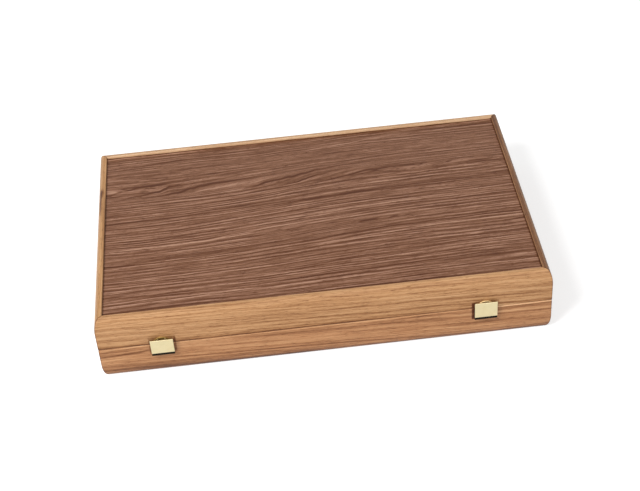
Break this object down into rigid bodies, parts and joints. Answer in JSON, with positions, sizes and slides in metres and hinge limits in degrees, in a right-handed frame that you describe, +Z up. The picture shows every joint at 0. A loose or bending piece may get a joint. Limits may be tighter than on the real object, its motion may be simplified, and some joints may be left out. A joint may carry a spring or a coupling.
{
  "type": "folding backgammon board",
  "caption": "closed wooden folding backgammon case with veneered top, mitred rails, brass lever latches, butt hinges and a full set of checkers and dice inside",
  "frame": {"origin": "on the surface that the closed case lies on, under the middle of its overall box", "axes": "+X along the hinge, from the left latch to the right one; +Y from the latches to the hinges; +Z up, out of the lid's panel"},
  "size_m": [0.48, 0.3082, 0.08],
  "materials": {
    "rail_wood": "satin varnish",
    "panel_veneer": "satin varnish",
    "field_veneer": "satin varnish",
    "point_light": "satin varnish",
    "point_dark": "satin varnish",
    "brass": "polished",
    "latch_brass": "brushed",
    "dark_steel": "blackened",
    "checker_light": "satin varnish",
    "checker_dark": "satin varnish",
    "die_ivory": "gloss",
    "pip_black": "gloss"
  },
  "bodies": {
    "base": {"base_front_rail": "rail_wood", "base_back_rail": "rail_wood", "base_left_rail": "rail_wood", "base_right_rail": "rail_wood", "base_panel": "panel_veneer", "base_field_sheet": "field_veneer", "base_points_light": "point_light", "base_points_dark": "point_dark", "base_rack_divider": "rail_wood", "base_rack_floor": "field_veneer", "left_hinge_base_leaf": "brass", "left_hinge_pin": "brass", "left_hinge_base_screws": "brass", "left_latch_foot": "dark_steel", "left_latch_pin": "dark_steel", "left_latch_spring": "dark_steel", "left_latch_foot_nails": "dark_steel", "right_hinge_base_leaf": "brass", "right_hinge_pin": "brass", "right_hinge_base_screws": "brass", "right_latch_foot": "dark_steel", "right_latch_pin": "dark_steel", "right_latch_spring": "dark_steel", "right_latch_foot_nails": "dark_steel"},
    "lid": {"lid_front_rail": "rail_wood", "lid_back_rail": "rail_wood", "lid_left_rail": "rail_wood", "lid_right_rail": "rail_wood", "lid_panel": "panel_veneer", "lid_field_sheet": "field_veneer", "lid_points_light": "point_light", "lid_points_dark": "point_dark", "lid_rack_divider": "rail_wood", "lid_rack_floor": "field_veneer", "left_hinge_lid_leaf": "brass", "left_hinge_lid_screws": "brass", "left_latch_keeper": "brass", "left_latch_keeper_nails": "brass", "right_hinge_lid_leaf": "brass", "right_hinge_lid_screws": "brass", "right_latch_keeper": "brass", "right_latch_keeper_nails": "brass"},
    "left_latch": {"left_latch_lever": "latch_brass"},
    "right_latch": {"right_latch_lever": "latch_brass"},
    "light_row": {"light_checkers": "checker_light"},
    "dark_row": {"dark_checkers": "checker_dark"},
    "left_die_body": {"left_die": "die_ivory", "left_die_pips": "pip_black"},
    "right_die_body": {"right_die": "die_ivory", "right_die_pips": "pip_black"}
  },
  "joints": [
    {"name": "lid_hinge", "type": "hinge", "parent": "base", "child": "lid", "pos_m": [0, 0.15163, 0.04], "axis": [-1, 0, 0], "range_deg": [0, 180]},
    {"name": "left_latch_hinge", "type": "hinge", "parent": "base", "child": "left_latch", "pos_m": [-0.173, -0.15077, 0.0316], "axis": [1, 0, 0], "range_deg": [-5, 90]},
    {"name": "right_latch_hinge", "type": "hinge", "parent": "base", "child": "right_latch", "pos_m": [0.169, -0.15077, 0.0316], "axis": [1, 0, 0], "range_deg": [0, 95]},
    {"name": "light_row_slide", "type": "slide", "parent": "base", "child": "light_row", "axis": [1, 0, 0], "range_m": [0, 0.06]},
    {"name": "dark_row_slide", "type": "slide", "parent": "base", "child": "dark_row", "axis": [-1, 0, 0], "range_m": [0, 0.06]},
    {"name": "left_die_slide", "type": "slide", "parent": "base", "child": "left_die_body", "axis": [0, -1, 0], "range_m": [-0.005, 0.019]},
    {"name": "right_die_slide", "type": "slide", "parent": "base", "child": "right_die_body", "axis": [0, -1, 0], "range_m": [-0.005, 0.019]}
  ]
}
